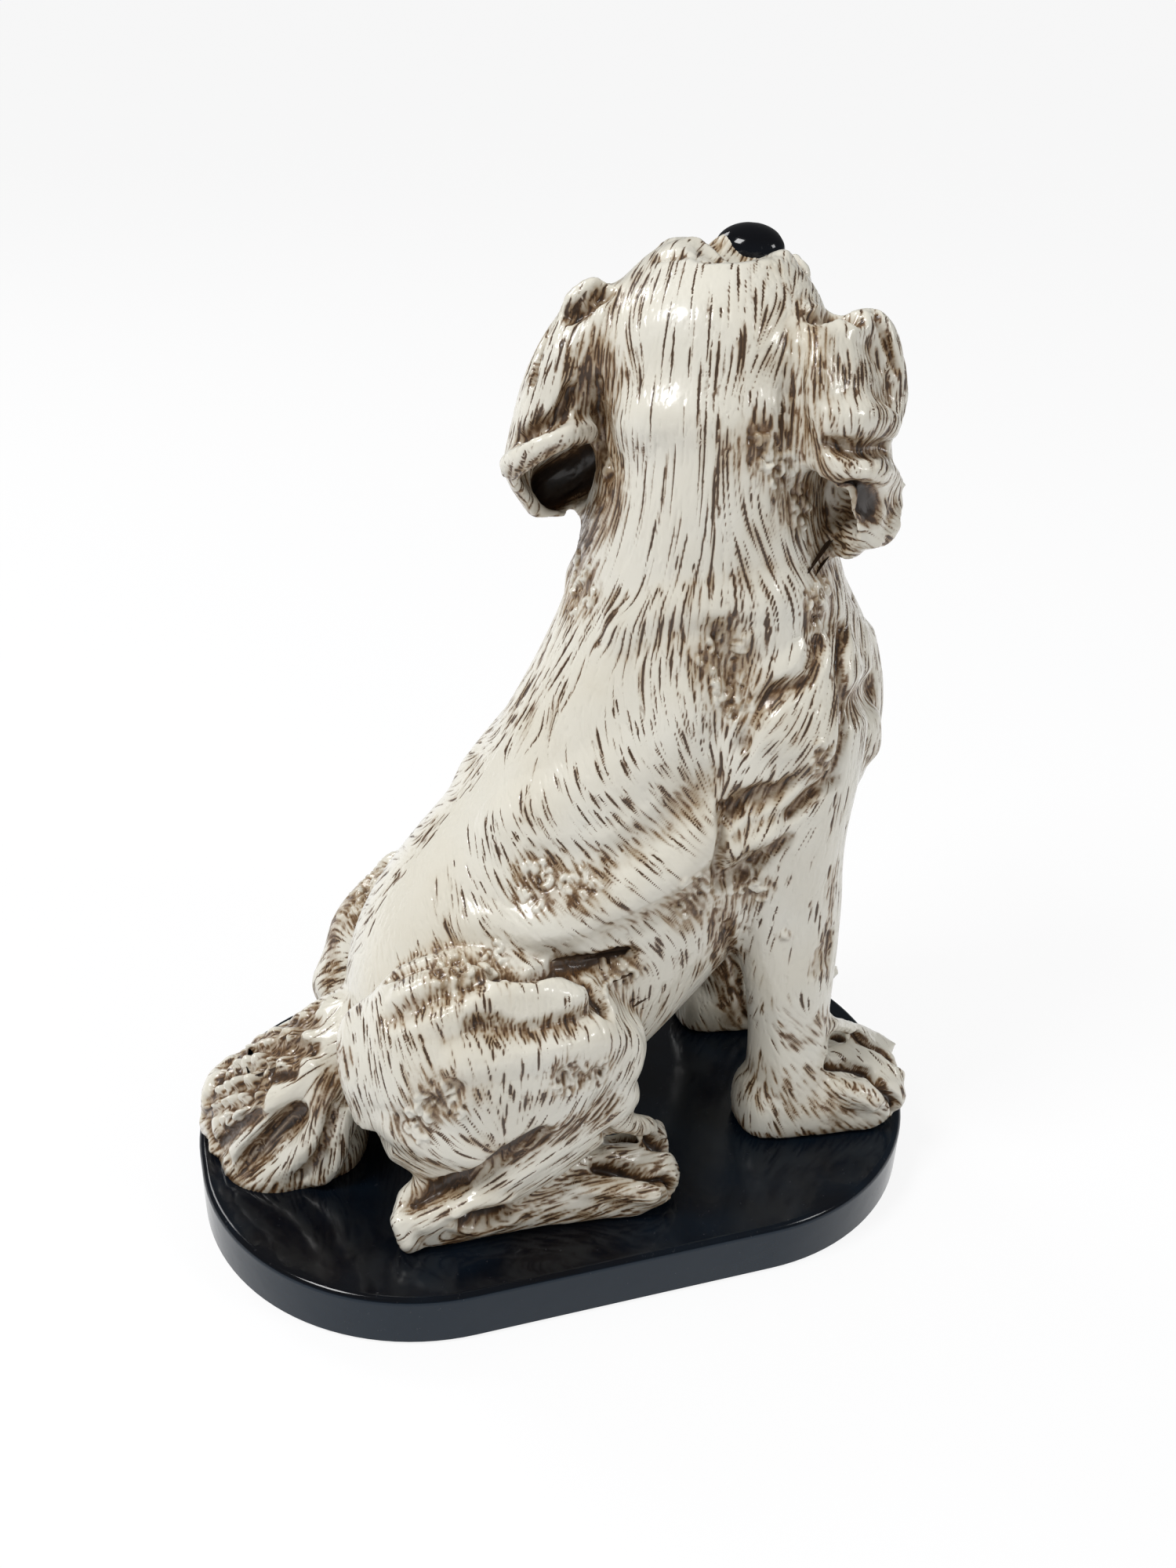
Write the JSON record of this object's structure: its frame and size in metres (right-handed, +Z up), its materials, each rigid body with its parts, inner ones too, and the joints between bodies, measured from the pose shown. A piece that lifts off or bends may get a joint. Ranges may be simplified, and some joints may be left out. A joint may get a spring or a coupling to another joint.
{
  "type": "seated dog figure",
  "caption": "Glazed ceramic figure of a seated spaniel with turned, lifted head and hanging ears, luted to an oval black plinth that rests flat on a shelf.",
  "frame": {"origin": "centre of the plinth's underside", "axes": "+X forward for the dog, towards its forepaws; +Y its left; +Z up"},
  "size_m": [0.25, 0.16, 0.3119],
  "materials": {
    "ivory_glaze": "ivory glaze, glossy, with brown stain in the tooled hair",
    "black_glaze": "black glaze, high gloss",
    "nose_glaze": "black glaze, high gloss",
    "eye_glaze": "dark brown glaze, high gloss"
  },
  "bodies": {
    "root": {"head": "ivory_glaze", "left_ear": "ivory_glaze", "left_eye": "eye_glaze", "left_foreleg": "ivory_glaze", "left_forepaw": "ivory_glaze", "left_haunch": "ivory_glaze", "left_hind_foot": "ivory_glaze", "left_shank": "ivory_glaze", "lower_jaw": "ivory_glaze", "neck": "ivory_glaze", "nose": "nose_glaze", "plinth": "black_glaze", "right_ear": "ivory_glaze", "right_eye": "eye_glaze", "right_foreleg": "ivory_glaze", "right_forepaw": "ivory_glaze", "right_haunch": "ivory_glaze", "right_hind_foot": "ivory_glaze", "right_shank": "ivory_glaze", "tail": "ivory_glaze", "tail_plume": "ivory_glaze", "torso": "ivory_glaze"}
  },
  "joints": []
}
